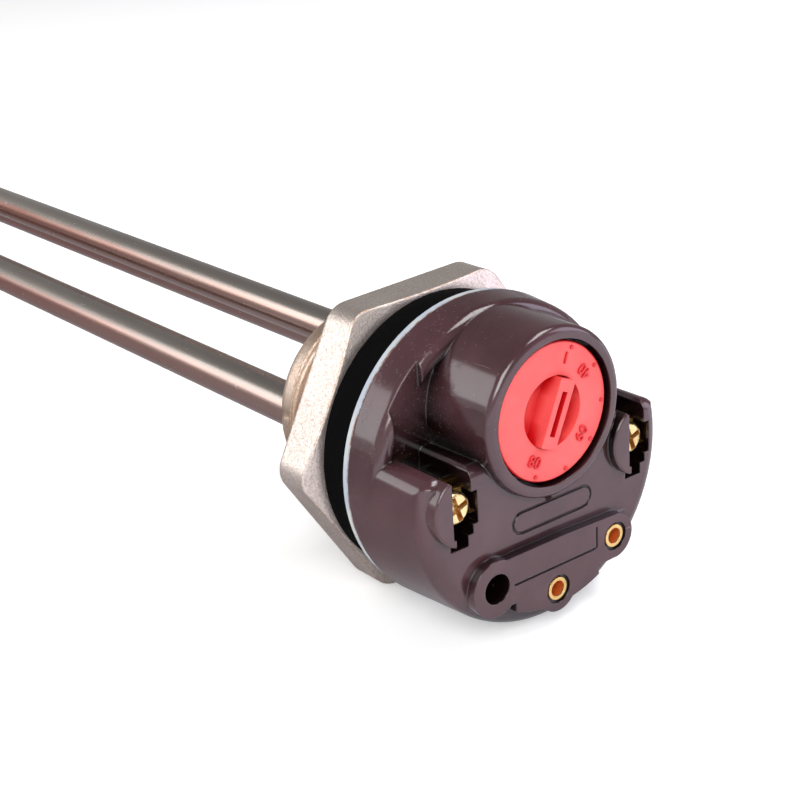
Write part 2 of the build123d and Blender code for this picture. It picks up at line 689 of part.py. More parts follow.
def make_terminal_screw(side):
    """Domed cross-recess screw whose head bears on the clamp plate."""
    x = screw_x(side)
    seat = WELL_FLOOR - BAR_THICKNESS - CLAMP_LIFT - CLAMP_THICKNESS
    top = seat - SCREW_HEAD_HEIGHT
    screw = turned(
        [
            (0, seat + SCREW_LENGTH),
            (SCREW_RADIUS, seat + SCREW_LENGTH),
            (SCREW_RADIUS, seat),
            (SCREW_HEAD_RADIUS, seat),
            (SCREW_HEAD_RADIUS, top),
            (0, top),
        ],
        [0, SCREW_END_ROUND, 0, 0, SCREW_HEAD_DOME, 0],
        x=x,
        z=SCREW_HEIGHT,
    )
    cross = Rectangle(CROSS_LENGTH, CROSS_WIDTH) + Rectangle(CROSS_WIDTH, CROSS_LENGTH)
    return screw - prism(Rot(0, 0, CROSS_ANGLE) * cross, top + CROSS_DEPTH, top - 1, x, SCREW_HEIGHT)


def make_pin_socket(side):
    x = side_x(side) * LEG_OFFSET
    back = min(STRIP_FRONT + PIN_SOCKET_LENGTH, SHEATH_FRONT - BUSH_LENGTH - PIN_SOCKET_END_GAP)
    return pipe(PIN_SOCKET_RADIUS, PIN_RADIUS + PIN_FIT, back, STRIP_FRONT, x, LEG_HEIGHT)


def make_lamp_socket(place):
    x, z = lamp_places()[place]
    front = PAD_FACE + LAMP_SOCKET_SET_BACK
    socket = rod(LAMP_SOCKET_RADIUS, STRIP_FRONT, front, x, z)
    return socket - rod(LAMP_SOCKET_BORE, front + LAMP_SOCKET_LENGTH, front - 1, x, z)


def strip(points, width):
    """Flat strip on the carrier along a run of points seen from the front."""
    outline = Sketch()
    for start, end in zip(points, points[1:]):
        length = math.dist(start, end)
        angle = math.degrees(math.atan2(end[1] - start[1], end[0] - start[0]))
        middle = ((start[0] + end[0]) / 2, (start[1] + end[1]) / 2)
        outline += Pos(*middle) * Rot(0, 0, angle) * SlotOverall(length + width, width)
    return prism(outline, STRIP_BACK, STRIP_FRONT)


# Dial and its screw

def make_dial():
    dial = rod(DIAL_RADIUS, DIAL_BACK, DIAL_FRONT, 0, DIAL_HEIGHT)
    dial = fillet(rim(dial, DIAL_FRONT, DIAL_RADIUS, (0, DIAL_HEIGHT)), DIAL_EDGE_ROUND)
    grip = Rot(0, 0, GRIP_ANGLE) * (Rectangle(GRIP_LENGTH, GRIP_WIDTH) & Circle(SCOOP_RADIUS + GRIP_ROOM))
    scoop = prism(Circle(SCOOP_RADIUS), DIAL_FRONT + SCOOP_DEPTH, DIAL_FRONT - 1, 0, DIAL_HEIGHT)
    dial -= scoop
    dial += prism(grip, DIAL_FRONT + SCOOP_DEPTH, DIAL_FRONT - GRIP_RISE, 0, DIAL_HEIGHT)
    slot = Rot(0, 0, GRIP_ANGLE) * Rectangle(SLOT_LENGTH, SLOT_WIDTH)
    slot_front = DIAL_FRONT - GRIP_RISE
    dial -= prism(slot, slot_front + SLOT_DEPTH, slot_front - 1, 0, DIAL_HEIGHT)
    for index in range(MARK_COUNT):
        angle = math.radians(GRIP_ANGLE - index * MARK_STEP)
        x = MARK_RADIUS * math.cos(angle)
        z = DIAL_HEIGHT + MARK_RADIUS * math.sin(angle)
        dial += rod(MARK_DOT, DIAL_FRONT, DIAL_FRONT - MARK_RISE, x, z)
    return dial


def make_dial_spindle():
    return rod(SPINDLE_RADIUS, SWITCH_SPACE_FRONT - SPINDLE_OVERRUN, DIAL_BACK, 0, DIAL_HEIGHT)


def make_adjusting_nut():
    back = SWITCH_SPACE_FRONT - NUT_SET_BACK
    nut = prism(Rectangle(NUT_SIDE, NUT_SIDE), back, back - NUT_THICKNESS, 0, DIAL_HEIGHT)
    return nut - rod(SPINDLE_RADIUS + SPINDLE_FIT, back + 1, back - NUT_THICKNESS - 1, 0, DIAL_HEIGHT)


# Switch

def across(x_start, radius, length):
    """Round bar along X on the rocker's axis."""
    start = Plane(origin=(x_start, PIN_DEPTH, LEVER_PIVOT_Z), x_dir=(0, 1, 0), z_dir=(1, 0, 0))
    return extrude(start * Circle(radius), amount=length)


def make_lever_bracket():
    """Two ears on a foot that rests on the carrier."""
    half = LEVER_WIDTH / 2 + LEVER_SIDE_GAP
    outer = half + EAR_THICKNESS
    z_low = LEVER_PIVOT_Z - EAR_HALF_HEIGHT
    z_high = LEVER_PIVOT_Z + EAR_HALF_HEIGHT
    bracket = box(-outer, outer, STRIP_BACK, STRIP_FRONT, z_low, z_high)
    for x_low, x_high in ((-outer, -half), (half, outer)):
        bracket += box(x_low, x_high, STRIP_BACK, PIN_DEPTH - EAR_MARGIN, z_low, z_high)
    return bracket - across(-outer, LEVER_PIN_RADIUS, 2 * outer)


def make_lever_pin():
    half = LEVER_WIDTH / 2 + LEVER_SIDE_GAP + EAR_THICKNESS
    return across(-half, LEVER_PIN_RADIUS, 2 * half)


def make_switch_lever():
    half = LEVER_WIDTH / 2
    lever = box(-half, half, LEVER_DEPTH, LEVER_DEPTH - LEVER_THICKNESS,
                LEVER_PIVOT_Z - LEVER_TAIL + BLADE_LENGTH / 2, DIAL_HEIGHT + LEVER_NOSE)
    lever += across(-half, LEVER_HUB_RADIUS, LEVER_WIDTH)
    return lever - across(-half, LEVER_PIN_RADIUS + LEVER_PIN_FIT, LEVER_WIDTH)


def make_contact_blade():
    """Spring blade under the lever's tail, with a contact button that faces the carrier."""
    front = LEVER_DEPTH
    blade = box(-LEVER_WIDTH / 2, LEVER_WIDTH / 2, front + BLADE_THICKNESS, front,
                BLADE_Z - BLADE_LENGTH / 2, BLADE_Z + BLADE_LENGTH / 2 + BLADE_OVERLAP)
    return blade + rod(BUTTON_RADIUS, front + BLADE_THICKNESS + BUTTON_THICKNESS, front + BLADE_THICKNESS,
                       0, BLADE_Z)


def make_fixed_contact():
    """Strip from the right push-on socket to the fixed contact button."""
    base = strip([(LEG_OFFSET, LEG_HEIGHT), (LEG_OFFSET - STRIP_INSET, BLADE_Z), (0, BLADE_Z)], STRIP_WIDTH)
    button_front = LEVER_DEPTH + BLADE_THICKNESS + BUTTON_THICKNESS + CONTACT_GAP
    base += rod(BUTTON_RADIUS, STRIP_FRONT, button_front, 0, BLADE_Z)
    return base - rod(PIN_SOCKET_RADIUS, STRIP_BACK + 1, STRIP_FRONT - 1, LEG_OFFSET, LEG_HEIGHT)


def make_supply_strip():
    """Strip from the right terminal bar's foot, over the push-on socket, to the bracket."""
    start_x = leg_x("right") - BAR_THICKNESS / 2 - STRIP_WIDTH / 2
    run_z = LEVER_PIVOT_Z + SUPPLY_STRIP_RISE
    base = strip([(start_x, SCREW_HEIGHT), (start_x, run_z), (0, run_z)], STRIP_WIDTH)
    bracket_side = LEVER_WIDTH / 2 + LEVER_SIDE_GAP + EAR_THICKNESS
    return base - box(-REACH, bracket_side, STRIP_BACK + 1, STRIP_FRONT - 1, -REACH, REACH)


def make_lamp_strip(place):
    x, z = lamp_places()[place]
    if place == "right":
        return strip([(x, z), (LEG_OFFSET - STRIP_INSET, BLADE_Z - STRIP_WIDTH)], STRIP_WIDTH)
    base = strip([(x, z), (-LEG_OFFSET, z + LAMP_STRIP_RISE), (-LEG_OFFSET, LEG_HEIGHT)], STRIP_WIDTH)
    return base - rod(PIN_SOCKET_RADIUS, STRIP_BACK + 1, STRIP_FRONT - 1, -LEG_OFFSET, LEG_HEIGHT)


def make_parts():
    parts = {
        "hex_plug": make_hex_plug(),
        "heating_sheath": hairpin(SHEATH_RADIUS, SHEATH_RADIUS - SHEATH_WALL, SHEATH_FRONT),
        "magnesia_fill": make_magnesia_fill(),
        "resistance_coil": hairpin(COIL_RADIUS, 0, SHEATH_FRONT + PIN_INSET),
        "pocket_tube": make_pocket_tube(),
        "stem_tube": make_stem_tube(),
        "stem_plug": make_stem_plug(),
        "invar_rod": make_invar_rod(),
        "spacer_ring": make_spacer_ring(),
        "insulating_disc": make_insulating_disc(),
        "mechanism_carrier": make_mechanism_carrier(),
        "housing": make_housing(),
        "dial": make_dial(),
        "dial_spindle": make_dial_spindle(),
        "adjusting_nut": make_adjusting_nut(),
        "lever_bracket": make_lever_bracket(),
        "lever_pin": make_lever_pin(),
        "switch_lever": make_switch_lever(),
        "contact_blade": make_contact_blade(),
        "fixed_contact": make_fixed_contact(),
        "supply_strip": make_supply_strip(),
    }
    for side in ("left", "right"):
        parts["terminal_pin_" + side] = make_terminal_pin(side)
        parts["end_bush_" + side] = make_end_bush(side)
        parts["pin_socket_" + side] = make_pin_socket(side)
        parts["terminal_bar_" + side] = make_terminal_bar(side)
        parts["clamp_plate_" + side] = make_clamp_plate(side)
        parts["terminal_screw_" + side] = make_terminal_screw(side)
    for place in lamp_places():
        parts["lamp_socket_" + place] = make_lamp_socket(place)
        parts["lamp_strip_" + place] = make_lamp_strip(place)
    return parts


os.makedirs("parts", exist_ok=True)
for node, solid in make_parts().items():
    export_step(solid, f"parts/{node}.step")
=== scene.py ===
import math

import bmesh
import bpy
from mathutils import Matrix, Vector


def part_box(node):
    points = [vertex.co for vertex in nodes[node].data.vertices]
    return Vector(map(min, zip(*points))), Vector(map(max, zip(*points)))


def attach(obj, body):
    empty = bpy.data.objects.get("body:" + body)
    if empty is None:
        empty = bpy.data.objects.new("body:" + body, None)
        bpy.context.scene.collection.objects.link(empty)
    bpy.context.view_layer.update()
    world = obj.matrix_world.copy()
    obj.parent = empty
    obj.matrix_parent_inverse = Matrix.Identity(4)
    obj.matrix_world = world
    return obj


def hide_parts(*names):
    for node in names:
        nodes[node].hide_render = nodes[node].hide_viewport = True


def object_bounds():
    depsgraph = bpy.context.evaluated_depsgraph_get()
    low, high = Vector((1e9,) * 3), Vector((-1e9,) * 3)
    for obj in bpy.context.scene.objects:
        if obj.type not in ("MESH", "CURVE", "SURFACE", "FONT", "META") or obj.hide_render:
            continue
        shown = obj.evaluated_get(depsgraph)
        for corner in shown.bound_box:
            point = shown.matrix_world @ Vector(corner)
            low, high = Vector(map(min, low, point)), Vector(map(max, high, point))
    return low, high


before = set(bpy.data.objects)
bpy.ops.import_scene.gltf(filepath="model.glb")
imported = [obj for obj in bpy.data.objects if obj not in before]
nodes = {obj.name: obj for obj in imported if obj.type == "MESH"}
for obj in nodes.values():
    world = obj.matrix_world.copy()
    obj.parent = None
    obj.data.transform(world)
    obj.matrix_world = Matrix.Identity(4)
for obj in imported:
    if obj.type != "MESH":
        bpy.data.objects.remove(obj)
cad_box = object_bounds()

MM = 0.001

# The plug's pipe thread, in millimetres: its end, the radius of its crests, pitch and depth, the
# chamfer at its end, the length over which it fades out, and the plain strip at either end
THREAD_END = 12.5
THREAD_CREST = 20.955
THREAD_PITCH = 2.309
THREAD_DEPTH = 1.48
THREAD_LEAD = 1.0
THREAD_RUN_OUT = 1.6
THREAD_SEAM = 0.25

# The rolled sheet of the thread: its faces round about and along, and how much of a pitch stays at
# full height on either side of a crest and at full depth in a root, as a share of half the pitch
THREAD_SIDES = 160
THREAD_ROWS = 90
CREST_SHARE = 0.12

# The plain faces that the thread replaces: how far past its ends, in millimetres, they may reach,
# and the normal's Y from which a face counts as an end face
FACE_SLACK = 0.02
START_SLACK = 0.01
LEVEL_NORMAL = 0.9

# The angle from which the casting's edges look sharp, and the distances in metres within which
# vertices become one
SHARP_ANGLE = 28
MERGE = 1e-6
SHEET_MERGE = 1e-7

# The dial, in millimetres: its axis, the step from its grip's front to its face, and the radii
# between which the redder painted shade of its figures and dots begins
DIAL_AXIS_Z = 12.2
GRIP_RISE = 1.5
DIAL_FACE_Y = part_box("dial")[0].y + GRIP_RISE * MM
SCALE_NONE_RADIUS = 7.2
SCALE_FULL_RADIUS = 7.6

# The figures of its scale, each with its radius in millimetres and its angle in degrees
DIAL_FIGURES = (("1", 9.7, 69.9), ("40", 9.25, 35.5), ("60", 8.9, -41.7), ("80", 9.15, -119.9))
FIGURE_SIZE = 2.9
FIGURE_HALF_DEPTH = 0.14
FIGURE_BEVEL = 0.03
FIGURE_SINK = 0.12
FIGURE_SPACING = 1.05

# Depths and heights between which dust gathers in the housing's hollows, in millimetres
DUST_NONE_Y, DUST_FULL_Y = -33.5, -28.5
DUST_NONE_Z, DUST_FULL_Z = 4, 8

# Floor, in metres: how far it lies under the part, half its width, its faces along a side, and the
# Y from which metal and gloss see it fully white
FLOOR_DROP = 0.0003
FLOOR_SIZE = 3.0
FLOOR_CELLS = 8
FLOOR_AHEAD = -0.08

# Camera, in metres, degrees and millimetres of film
CAMERA_PLACE = Vector((-0.17157, -0.22233, 0.11650))
CAMERA_AIM = Vector((-0.01809, -0.02000, 0.01460))
CAMERA_ROLL = -3.54
CAMERA_LENS = 72.0
CAMERA_CLIP = (0.01, 20.0)
SENSOR = 36.0


# Nodes

def linear(hexa):
    """An sRGB hex colour as the linear RGBA that a shader takes."""
    out = []
    for start in (0, 2, 4):
        value = int(hexa[start:start + 2], 16) / 255
        out.append(value / 12.92 if value <= 0.04045 else ((value + 0.055) / 1.055) ** 2.4)
    return (*out, 1.0)


def fill(node, *values, **named):
    """Gives a node's open sockets, in their order or by name, a value, a hex colour or a link."""
    sockets = [socket for socket in node.inputs if socket.enabled]
    by_name = {socket.name: socket for socket in sockets}
    given = list(zip(sockets, values))
    given += [(by_name[key.replace("_", " ")], value) for key, value in named.items()]
    for socket, value in given:
        if isinstance(value, bpy.types.Node):
            value = next(out for out in value.outputs if out.enabled)
        if isinstance(value, bpy.types.NodeSocket):
            node.id_data.links.new(value, socket)
        else:
            socket.default_value = linear(value) if isinstance(value, str) else value


def add(tree, kind, *values, **named):
    """A shader node: keywords in small letters are settings, and all else goes to its sockets."""
    node = tree.nodes.new("ShaderNode" + kind)
    for key, value in named.items():
        if key.islower():
            setattr(node, key, value)
    fill(node, *values, **{key: value for key, value in named.items() if not key.islower()})
    return node


def pattern(tree, kind, size_mm, stretch=(1, 1, 1), shift=(0, 0, 0), **named):
    """A texture whose features are size_mm across, and longer along an axis by its stretch."""
    place = add(tree, "TexCoord").outputs["Object"]
    scale = [1 / (size_mm * longer * MM) for longer in stretch]
    mapping = add(tree, "Mapping", Vector=place, Scale=scale, Location=shift)
    return add(tree, kind, Vector=mapping, Scale=1.0, **named)


def object_place(tree):
    """The object's X, Y and Z, in metres."""
    return add(tree, "SeparateXYZ", add(tree, "TexCoord").outputs["Object"]).outputs


def relief(tree, shader, height, depth_mm, round_mm=0.0):
    """Relief of that depth, over edges that look rounded by round_mm."""
    bump = add(tree, "Bump", Height=height, Distance=depth_mm * MM, Strength=1.0)
    if round_mm:
        fill(bump, Normal=add(tree, "Bevel", Radius=round_mm * MM, samples=6))
    fill(shader, Normal=bump)


def edge_mask(tree, round_mm, low, high):
    """1 on sharp outer and inner edges, 0 on flat faces."""
    bevel = add(tree, "Bevel", Radius=round_mm * MM, samples=6)
    normal = add(tree, "NewGeometry").outputs["Normal"]
    dot = add(tree, "VectorMath", bevel, normal, operation="DOT_PRODUCT").outputs["Value"]
    return add(tree, "MapRange", dot, high, low)


def painted_corner_shade(tree, reach_mm):
    """Where shade is painted: 1 in deep corners, 0 on open faces."""
    open_sky = add(tree, "AmbientOcclusion", Distance=reach_mm * MM, samples=8)
    return add(tree, "MapRange", open_sky.outputs["AO"], 0.88, 0.42)


def new_material(name):
    """A material, with its node tree and its shader."""
    material = bpy.data.materials.new(name)
    material.use_nodes = True
    tree = material.node_tree
    return material, tree, tree.nodes["Principled BSDF"]


# Materials

def sand_cast_nickel():
    """Brass, sand cast and nickel plated: a warm grey satin skin with the sand's grain in it, brown
    brass on worn edges and on the threaded end, and a few rusty stains. The grain is drawn 0.4 mm
    across, about twice its real size, so that it shows."""
    material, tree, shader = new_material("nickel_plated_sand_casting")
    grain = pattern(tree, "TexNoise", 0.4, Detail=2, Roughness=0.5)
    pits = pattern(tree, "TexVoronoi", 0.8)
    clouds = pattern(tree, "TexNoise", 7, Detail=3, Roughness=0.5)
    blotch = add(tree, "MapRange", clouds, 0.3, 0.7)
    tone = add(tree, "Mix", blotch, "D9CCC4", "E8DCD3", data_type="RGBA")
    grain_share = add(tree, "MapRange", grain, 0.42, 0.66, 0, 0.34)
    tone = add(tree, "Mix", grain_share, tone, "8E7F76", data_type="RGBA")
    rubbed = add(tree, "MapRange", pattern(tree, "TexNoise", 1.1, Detail=3, Roughness=0.7), 0.44, 0.56)
    worn = add(tree, "Math", edge_mask(tree, 0.7, 0.86, 0.99), rubbed, operation="MULTIPLY")
    worn = add(tree, "Math", worn, 0.8, operation="MULTIPLY")
    tone = add(tree, "Mix", worn, tone, "B98D5F", data_type="RGBA")
    behind = add(tree, "MapRange", object_place(tree)["Y"], 0.0, 1.5 * MM)
    thin_plating_and_painted_reflection = add(tree, "MapRange", clouds, 0.3, 0.7, 0.3, 0.65)
    behind = add(tree, "Math", behind, thin_plating_and_painted_reflection, operation="MULTIPLY")
    tone = add(tree, "Mix", behind, tone, "B08C68", data_type="RGBA")
    stains = pattern(tree, "TexNoise", 2.4, shift=(3, 1, 7), Detail=5, Roughness=0.7)
    rusty = add(tree, "MapRange", stains, 0.66, 0.74, 0, 0.5)
    tone = add(tree, "Mix", rusty, tone, "A5764E", data_type="RGBA")
    fill(shader, Base_Color=tone, Metallic=1.0, Roughness=add(tree, "MapRange", grain, 0.3, 0.7, 0.36, 0.5))
    pit_share = add(tree, "MapRange", pits, 0.0, 0.35, 0.0, 0.12)
    relief(tree, shader, add(tree, "Math", grain, pit_share, operation="ADD"), 0.075, 0.7)
    return material


def drawn_tube(name, light, dark, painted_reflection_tone, shift):
    """Copper tube, drawn and thinly nickel plated: a soft warm shine with fine lines along the tube,
    a painted warm reflection in coppery red on its left-facing side, stronger further along, and pale
    scuffs. Drawing lines are finer than a tenth of a millimetre and are drawn 0.25 mm wide, so that they
    show."""
    material, tree, shader = new_material(name)
    lines = pattern(tree, "TexNoise", 0.25, stretch=(1, 60, 1), shift=shift, Detail=3, Roughness=0.6)
    clouds = pattern(tree, "TexNoise", 9, stretch=(1, 4, 1), shift=shift, Detail=3, Roughness=0.55)
    tone = add(tree, "Mix", add(tree, "MapRange", clouds, 0.3, 0.7), light, dark, data_type="RGBA")
    # Painted reflection: the side facing left, more so further along the tube, is tinted coppery red
    facing = add(tree, "SeparateXYZ", add(tree, "NewGeometry").outputs["Normal"]).outputs
    upward = add(tree, "Math", facing["Z"], 0.05, operation="MULTIPLY")
    left = add(tree, "Math", facing["X"], upward, operation="ADD")
    ragged = add(tree, "Math", left, add(tree, "MapRange", clouds, 0, 1, -0.16, 0.16), operation="ADD")
    thin_plating_and_painted_reflection = add(tree, "MapRange", ragged, -0.72, -0.94)
    far = add(tree, "MapRange", object_place(tree)["Y"], 0.01, 0.16, 0.45, 1.0)
    thin_plating_and_painted_reflection = add(tree, "Math", thin_plating_and_painted_reflection, far, operation="MULTIPLY")
    thin_plating_and_painted_reflection = add(tree, "Math", thin_plating_and_painted_reflection, 0.85, operation="MULTIPLY")
    tone = add(tree, "Mix", thin_plating_and_painted_reflection, tone, painted_reflection_tone, data_type="RGBA")
    marks = pattern(tree, "TexNoise", 1.6, stretch=(1, 3, 1), shift=(5, 2, 1), Detail=5, Roughness=0.75)
    scuffs = add(tree, "MapRange", marks, 0.64, 0.72)
    scuff_share = add(tree, "Math", scuffs, 0.35, operation="MULTIPLY")
    tone = add(tree, "Mix", scuff_share, tone, "EDE6DF", data_type="RGBA")
    dull = add(tree, "Math", clouds, scuffs, operation="ADD")
    fill(shader, Base_Color=tone, Metallic=1.0, Roughness=add(tree, "MapRange", dull, 0.3, 1.4, 0.2, 0.42))
    relief(tree, shader, lines, 0.012)
    return material


def near_black_ring():
    """A near-black matt ring between the casting and the disc, which swallows light, with a fine uneven
    skin.
    The skin's grain is drawn at 0.5 mm, coarser than it is."""
    material, tree, shader = new_material("matt_near_black_ring")
    fine = pattern(tree, "TexNoise", 0.5, Detail=4, Roughness=0.6)
    tone = add(tree, "Mix", add(tree, "MapRange", fine, 0.4, 0.7), "030304", "070708", data_type="RGBA")
    rough = add(tree, "MapRange", fine, 0.3, 0.7, 0.7, 0.86)
    fill(shader, Base_Color=tone, Roughness=rough, Specular_IOR_Level=0.04)
    relief(tree, shader, fine, 0.03)
    return material


def fibre_disc():
    """Pressed fibre sheet, punched: pale and bluish with a soft sheen, and a thin rust-brown line
    along its front edge. Its fibres are drawn at 0.6 mm, coarser than they are."""
    material, tree, shader = new_material("pale_blue_fibre_sheet")
    fine = pattern(tree, "TexNoise", 0.6, Detail=4, Roughness=0.6)
    clouds = pattern(tree, "TexNoise", 6, Detail=2, Roughness=0.5)
    blotch = add(tree, "MapRange", clouds, 0.35, 0.65)
    tone = add(tree, "Mix", blotch, "A3ACBA", "B9BCBC", data_type="RGBA")
    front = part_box("insulating_disc")[0].y
    edge = add(tree, "MapRange", object_place(tree)["Y"], front + 0.42 * MM, front + 0.12 * MM)
    ragged = add(tree, "MapRange", pattern(tree, "TexNoise", 1.8, Detail=4, Roughness=0.7), 0.36, 0.58)
    edge = add(tree, "Math", edge, ragged, operation="MULTIPLY")
    tone = add(tree, "Mix", edge, tone, "7A4A30", data_type="RGBA")
    fill(shader, Base_Color=tone, Roughness=add(tree, "MapRange", fine, 0.3, 0.7, 0.38, 0.6))
    relief(tree, shader, fine, 0.03)
    return material


def moulded_phenolic():
    """Phenolic resin, pressed in a polished mould: dark reddish brown, glossy and slightly wavy,
    with painted shade that darkens deep corners and recesses to near black, with faint scratches and with
    dust in the hollows. Scratches are drawn about 0.2 mm wide and specks of dust as large, coarser than
    they are."""
    material, tree, shader = new_material("glossy_brown_phenolic_moulding")
    place = object_place(tree)
    clouds = pattern(tree, "TexNoise", 11, Detail=3, Roughness=0.55)
    fine = pattern(tree, "TexNoise", 0.22, Detail=3, Roughness=0.6)
    tone = add(tree, "Mix", add(tree, "MapRange", clouds, 0.3, 0.7), "3A2327", "482D32", data_type="RGBA")
    # Painted shade: deep corners and recesses are darkened towards near black
    tone = add(tree, "Mix", painted_corner_shade(tree, 12.0), tone, "0A0404", data_type="RGBA")

    lengthwise = pattern(tree, "TexNoise", 0.55, stretch=(1, 22, 1), shift=(2, 4, 6), Detail=2,
                         Roughness=0.5)
    across = pattern(tree, "TexNoise", 0.5, stretch=(26, 1, 2), shift=(7, 1, 3), Detail=2, Roughness=0.5)
    patches = pattern(tree, "TexNoise", 14, shift=(1, 9, 2), Detail=2, Roughness=0.5)
    scratches = add(tree, "Math", add(tree, "MapRange", lengthwise, 0.71, 0.75),
                    add(tree, "MapRange", across, 0.725, 0.76), operation="MAXIMUM")
    scratches = add(tree, "Math", scratches, add(tree, "MapRange", patches, 0.52, 0.62),
                    operation="MULTIPLY")

    specks = add(tree, "MapRange", pattern(tree, "TexVoronoi", 1.0), 0.1, 0.06)
    thrown = pattern(tree, "TexNoise", 8, shift=(4, 4, 4), Detail=3, Roughness=0.6)
    sprinkle = add(tree, "Math", add(tree, "MapRange", thrown, 0.46, 0.66), 0.12, operation="MULTIPLY")
    deep = add(tree, "Math", add(tree, "MapRange", place["Y"], DUST_NONE_Y * MM, DUST_FULL_Y * MM),
               add(tree, "MapRange", place["Z"], DUST_NONE_Z * MM, DUST_FULL_Z * MM),
               operation="MULTIPLY")
    film = add(tree, "MapRange", pattern(tree, "TexNoise", 1.7, Detail=5, Roughness=0.75), 0.54, 0.76)
    settled = add(tree, "Math", deep, film, operation="MULTIPLY")
    dust = add(tree, "Math", specks, add(tree, "Math", sprinkle, deep, operation="MAXIMUM"),
               operation="MULTIPLY")

    for share, strength, colour in ((scratches, 0.45, "8C7471"), (settled, 0.25, "5A463E"),
                                    (dust, 0.4, "96847A")):
        share = add(tree, "Math", share, strength, operation="MULTIPLY")
        tone = add(tree, "Mix", share, tone, colour, data_type="RGBA")
    dull = add(tree, "Math", add(tree, "Math", settled, dust, operation="MAXIMUM"), 0.4,
               operation="MULTIPLY")
    rough = add(tree, "Math", add(tree, "MapRange", clouds, 0.3, 0.7, 0.09, 0.15), dull, operation="ADD")
    fill(shader, Base_Color=tone, Roughness=rough, IOR=1.58)
    waves = pattern(tree, "TexNoise", 4.5, Detail=2, Roughness=0.4)
    fine = add(tree, "Math", fine, 0.25, operation="MULTIPLY")
    relief(tree, shader, add(tree, "Math", fine, waves, operation="ADD"), 0.007, 0.45)
    return material


def carrier_phenolic():
    """Phenolic resin with wood flour, pressed in a plain mould: a half-matt brown."""
    material, tree, shader = new_material("matt_brown_phenolic_plate")
    fine = pattern(tree, "TexNoise", 0.4, Detail=4, Roughness=0.6)
    tone = add(tree, "Mix", add(tree, "MapRange", fine, 0.3, 0.7), "3B2725", "4B3431", data_type="RGBA")
    fill(shader, Base_Color=tone, Roughness=0.5)
    relief(tree, shader, fine, 0.02, 0.2)
    return material


def coral_plastic():
    """Coral-red thermoplastic, injection moulded: a satin skin with a little light under it, painted shade
    of deep red in corners, and figures and dots painted redder than the face as shade for their relief. Its
    skin's grain is drawn at
    0.3 mm, coarser than it is."""
    material, tree, shader = new_material("coral_red_thermoplastic")
    clouds = pattern(tree, "TexNoise", 5, Detail=3, Roughness=0.5)
    fine = pattern(tree, "TexNoise", 0.3, Detail=3, Roughness=0.6)
    tone = add(tree, "Mix", add(tree, "MapRange", clouds, 0.3, 0.7), "E05050", "E85A58", data_type="RGBA")
    # Painted shade: corners are turned a deep saturated red
    tone = add(tree, "Mix", painted_corner_shade(tree, 3.6), tone, "C2040E", data_type="RGBA")
    place = object_place(tree)
    # Painted shade: the tops of the raised figures and the dots are painted redder, for the shading of
    # their relief
    proud = add(tree, "MapRange", place["Y"], DIAL_FACE_Y - 0.08 * MM, DIAL_FACE_Y - 0.18 * MM)
    up = add(tree, "Math", place["Z"], DIAL_AXIS_Z * MM, operation="SUBTRACT")
    off_axis = add(tree, "Math", add(tree, "Math", place["X"], place["X"], operation="MULTIPLY"),
                   add(tree, "Math", up, 2.0, operation="POWER"), operation="ADD")
    off_axis = add(tree, "Math", off_axis, operation="SQRT")
    outside = add(tree, "MapRange", off_axis, SCALE_NONE_RADIUS * MM, SCALE_FULL_RADIUS * MM)
    marks = add(tree, "Math", proud, outside, operation="MULTIPLY")
    marks = add(tree, "Math", marks, 0.85, operation="MULTIPLY")
    tone = add(tree, "Mix", marks, tone, "C4141E", data_type="RGBA")
    specks = add(tree, "MapRange", pattern(tree, "TexVoronoi", 1.6, shift=(3, 3, 3)), 0.09, 0.05)
    specks = add(tree, "Math", specks, 0.35, operation="MULTIPLY")
    tone = add(tree, "Mix", specks, tone, "9A3236", data_type="RGBA")
    fill(shader, Base_Color=tone, Roughness=add(tree, "MapRange", fine, 0.3, 0.7, 0.34, 0.46),
         Subsurface_Weight=0.06, Subsurface_Radius=(1.0, 0.35, 0.3), Subsurface_Scale=0.6 * MM)
    relief(tree, shader, fine, 0.008, 0.18)
    return material


def worked_metal(name, light, dark, rough, line_mm=0.2, stretch=(20, 1, 20), wear=0.0, deep="",
                 reach_mm=1.0, front=None):
    """Metal turned, drawn, rolled or ground: fine lines along its stretch, tarnish in clouds, brown
    wear, and a painted colour, duller and less metallic, in corners or behind its front, which stands for
    shade in recesses and light bounced within bores. Tool marks are finer than a tenth of a millimetre and
    are drawn 0.2 mm wide, so that they show."""
    material, tree, shader = new_material(name)
    lines = pattern(tree, "TexNoise", line_mm, stretch=stretch, Detail=3, Roughness=0.6)
    clouds = pattern(tree, "TexNoise", 2.2, Detail=4, Roughness=0.6)
    tone = add(tree, "Mix", add(tree, "MapRange", clouds, 0.3, 0.72), light, dark, data_type="RGBA")
    if wear:
        spots = pattern(tree, "TexNoise", 1.0, shift=(5, 5, 5), Detail=4, Roughness=0.7)
        brown = add(tree, "MapRange", spots, 0.58, 0.7, 0, wear)
        tone = add(tree, "Mix", brown, tone, "6E4A22", data_type="RGBA")
    metallic = 1.0
    # The deep colour is painted light and shade: painted shade in corners, painted light bounced within a
    # bore
    if deep:
        if front is None:
            painted_hollow = painted_corner_shade(tree, reach_mm)
        else:
            painted_hollow = add(tree, "MapRange", object_place(tree)["Y"], front + 0.1 * MM, front + 0.5 * MM)
        tone = add(tree, "Mix", painted_hollow, tone, deep, data_type="RGBA")
        metallic = add(tree, "MapRange", painted_hollow, 0, 1, 1, 0.35)
    dull = add(tree, "MapRange", clouds, 0.3, 0.7, rough, rough + 0.12)
    fill(shader, Base_Color=tone, Metallic=metallic, Roughness=dull)
    relief(tree, shader, lines, 0.006, 0.15)
    return material


